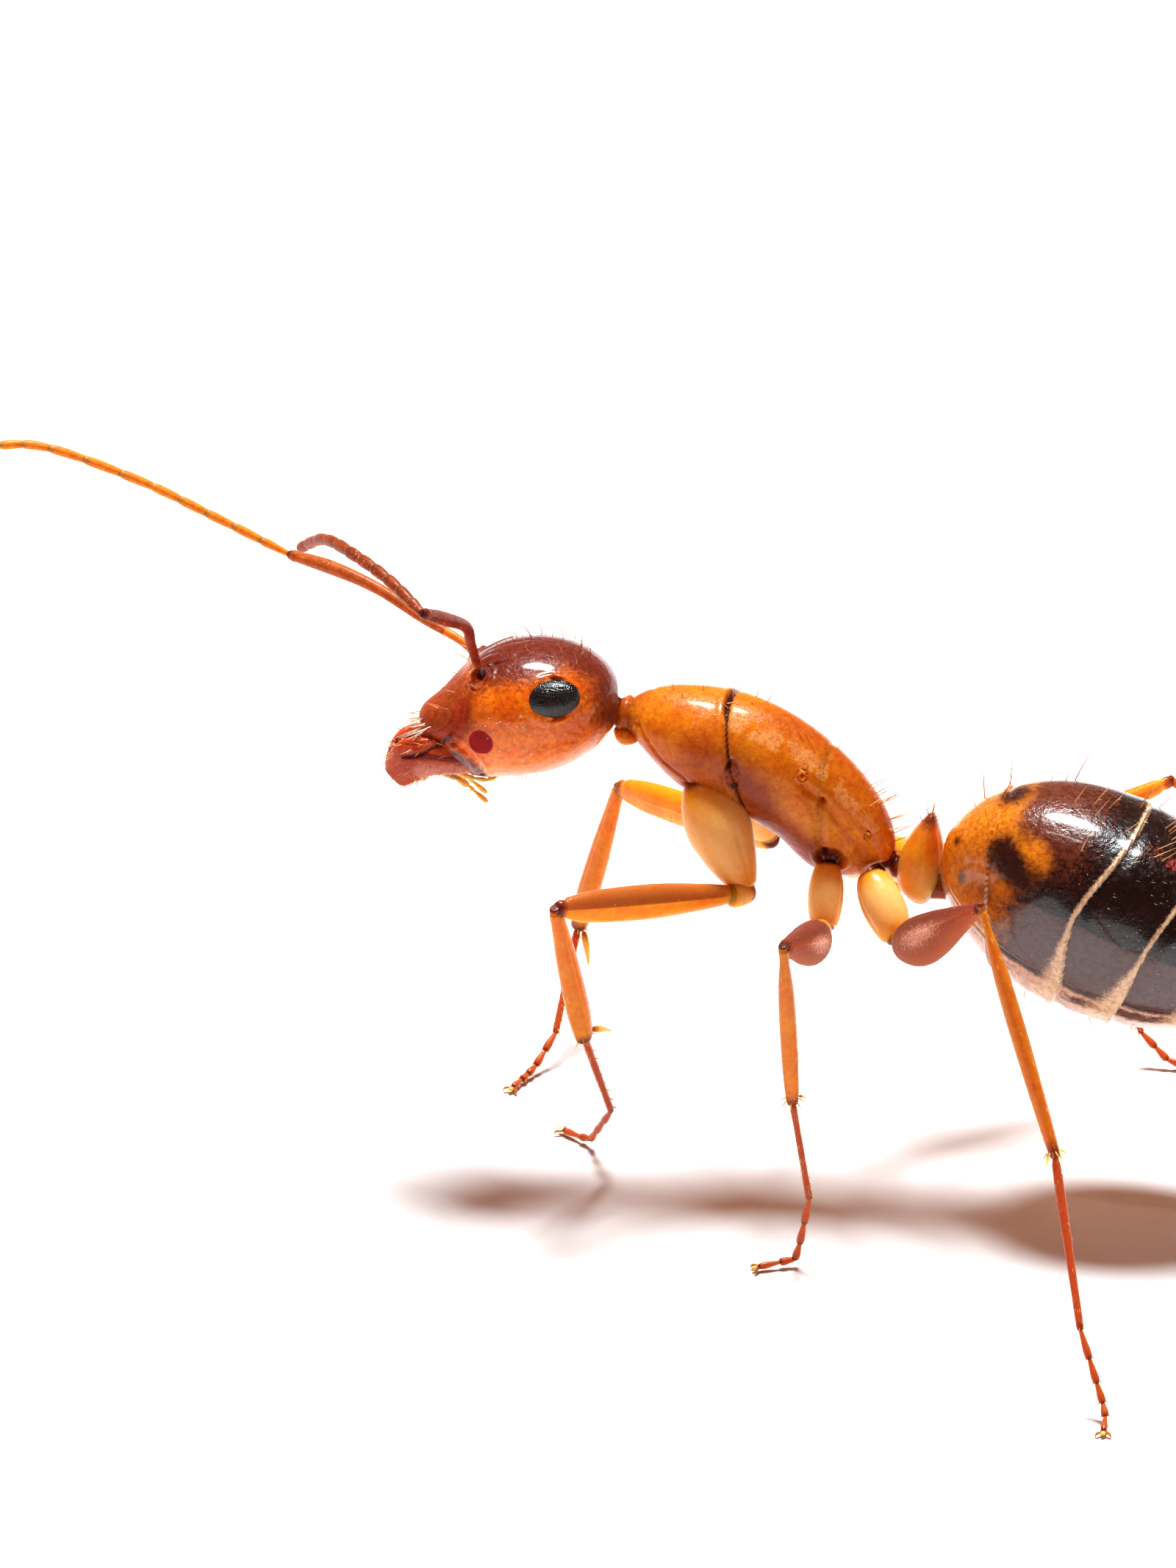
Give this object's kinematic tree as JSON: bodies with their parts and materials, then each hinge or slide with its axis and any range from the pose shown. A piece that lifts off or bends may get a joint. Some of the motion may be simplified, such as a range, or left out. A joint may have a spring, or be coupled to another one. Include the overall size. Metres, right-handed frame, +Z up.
{
  "type": "carpenter ant worker model",
  "caption": "Life-size still model of a yellow-orange carpenter ant worker with a dark abdomen, standing on its feet with both feelers held forward.",
  "frame": {"origin": "on the floor, under the middle of the box round the whole ant", "axes": "+Z up, -X the way the ant faces, -Y its left side"},
  "size_m": [0.0196, 0.0132, 0.0088],
  "materials": {
    "shell": "glossy amber-orange to red-brown cuticle",
    "abdomen": "glossy brown-black cuticle, yellow-orange in front, with pale bands",
    "leg": "satin translucent amber cuticle, browner at the joints and feet",
    "feeler": "satin red-brown cuticle",
    "eye": "glossy black, finely faceted"
  },
  "bodies": {
    "root": {"antenna_left_inner": "feeler", "antenna_left_outer": "feeler", "antenna_left_scape": "feeler", "antenna_right_inner": "feeler", "antenna_right_outer": "feeler", "antenna_right_scape": "feeler", "eye_left": "eye", "eye_right": "eye", "gaster_1": "abdomen", "gaster_2": "abdomen", "gaster_3": "abdomen", "gaster_4": "abdomen", "gaster_5": "abdomen", "head": "shell", "leg_front_left_basitarsus": "leg", "leg_front_left_coxa": "leg", "leg_front_left_femur": "leg", "leg_front_left_foot": "leg", "leg_front_left_tibia": "leg", "leg_front_right_basitarsus": "leg", "leg_front_right_coxa": "leg", "leg_front_right_femur": "leg", "leg_front_right_foot": "leg", "leg_front_right_tibia": "leg", "leg_hind_left_basitarsus": "leg", "leg_hind_left_coxa": "leg", "leg_hind_left_femur": "leg", "leg_hind_left_foot": "leg", "leg_hind_left_tibia": "leg", "leg_hind_right_basitarsus": "leg", "leg_hind_right_coxa": "leg", "leg_hind_right_femur": "leg", "leg_hind_right_foot": "leg", "leg_hind_right_tibia": "leg", "leg_mid_left_basitarsus": "leg", "leg_mid_left_coxa": "leg", "leg_mid_left_femur": "leg", "leg_mid_left_foot": "leg", "leg_mid_left_tibia": "leg", "leg_mid_right_basitarsus": "leg", "leg_mid_right_coxa": "leg", "leg_mid_right_femur": "leg", "leg_mid_right_foot": "leg", "leg_mid_right_tibia": "leg", "mandible_left": "shell", "mandible_right": "shell", "mesothorax": "shell", "mouthparts": "leg", "petiole": "shell", "propodeum": "shell", "prothorax": "shell"}
  },
  "joints": []
}
